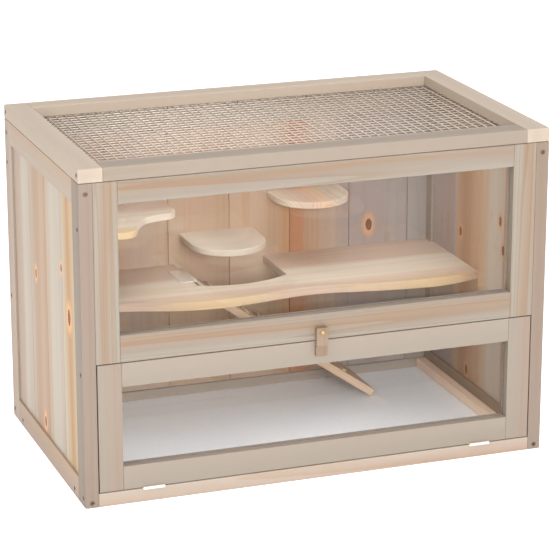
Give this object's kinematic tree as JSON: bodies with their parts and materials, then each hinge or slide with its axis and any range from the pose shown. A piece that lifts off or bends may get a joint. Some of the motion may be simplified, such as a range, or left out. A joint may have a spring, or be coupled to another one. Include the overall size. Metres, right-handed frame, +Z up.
{
  "type": "hamster cage",
  "caption": "Wooden small-animal cage with boarded walls, a clear front window, a drop-down clear door, a hinged mesh lid, a platform, a ramp and shelves.",
  "frame": {"origin": "centre of the footprint, on the surface that the cage stands on", "axes": "+X to the right along the cage's length, seen from the front; +Y from the front to the back; +Z up"},
  "size_m": [0.6, 0.3631, 0.42],
  "materials": {
    "pine_frame": "sanded, unvarnished",
    "pine_boards": "sanded, unvarnished",
    "pine_shelves": "sanded, unvarnished",
    "latch_wood": "sanded",
    "acrylic": "clear",
    "mesh_steel": "galvanised",
    "dark_screws": "dark",
    "fastener_steel": "zinc plated",
    "hinge_steel": "nickel plated",
    "floor_white": "smooth white facing"
  },
  "bodies": {
    "case": {"back_board_1": "pine_boards", "back_board_2": "pine_boards", "back_board_3": "pine_boards", "back_board_4": "pine_boards", "back_board_5": "pine_boards", "back_board_6": "pine_boards", "back_board_7": "pine_boards", "back_board_8": "pine_boards", "back_bottom_rail": "pine_frame", "back_top_rail": "pine_frame", "case_screws": "dark_screws", "corner_shelf": "pine_shelves", "floor_battens": "pine_frame", "floor_panel": "floor_white", "front_sill": "pine_frame", "hinge_case_leaves": "hinge_steel", "hinge_pins": "hinge_steel", "latch_screw": "dark_screws", "left_board_1": "pine_boards", "left_board_2": "pine_boards", "left_board_3": "pine_boards", "left_board_4": "pine_boards", "left_bottom_rail": "pine_frame", "left_front_post": "pine_frame", "left_rear_post": "pine_frame", "left_top_rail": "pine_frame", "middle_shelf": "pine_shelves", "platform": "pine_shelves", "ramp_hinge_platform_leaf": "hinge_steel", "right_board_1": "pine_boards", "right_board_2": "pine_boards", "right_board_3": "pine_boards", "right_board_4": "pine_boards", "right_bottom_rail": "pine_frame", "right_front_post": "pine_frame", "right_rear_post": "pine_frame", "right_top_rail": "pine_frame", "upper_shelf": "pine_shelves", "window_bottom_rail": "pine_frame", "window_left_stile": "pine_frame", "window_pane": "acrylic", "window_right_stile": "pine_frame", "window_top_rail": "pine_frame"},
    "door": {"door_bottom_rail": "pine_frame", "door_hinge_leaves": "hinge_steel", "door_left_stile": "pine_frame", "door_pane": "acrylic", "door_right_stile": "pine_frame", "door_top_rail": "pine_frame"},
    "latch": {"latch": "latch_wood"},
    "ramp": {"ramp_board": "pine_shelves", "ramp_cleats": "pine_shelves", "ramp_hinge_leaf": "hinge_steel"},
    "lid": {"lid_back_rail": "pine_frame", "lid_fasteners": "fastener_steel", "lid_front_rail": "pine_frame", "lid_hinge_leaves": "hinge_steel", "lid_left_rail": "pine_frame", "lid_mesh": "mesh_steel", "lid_right_rail": "pine_frame"}
  },
  "joints": [
    {"name": "door_hinge", "type": "hinge", "parent": "case", "child": "door", "pos_m": [0, -0.1769, 0.0175], "axis": [1, 0, 0], "range_deg": [0, 95]},
    {"name": "latch_turn", "type": "hinge", "parent": "case", "child": "latch", "pos_m": [0, -0.179, 0.1912], "axis": [0, -1, 0], "range_deg": [-90, 90]},
    {"name": "ramp_hinge", "type": "hinge", "parent": "case", "child": "ramp", "pos_m": [-0.077, 0.105, 0.1885], "axis": [0, -1, 0], "range_deg": [0, 26]},
    {"name": "lid_hinge", "type": "hinge", "parent": "case", "child": "lid", "pos_m": [0, 0.1769, 0.40275], "axis": [-1, 0, 0], "range_deg": [0, 110]}
  ]
}
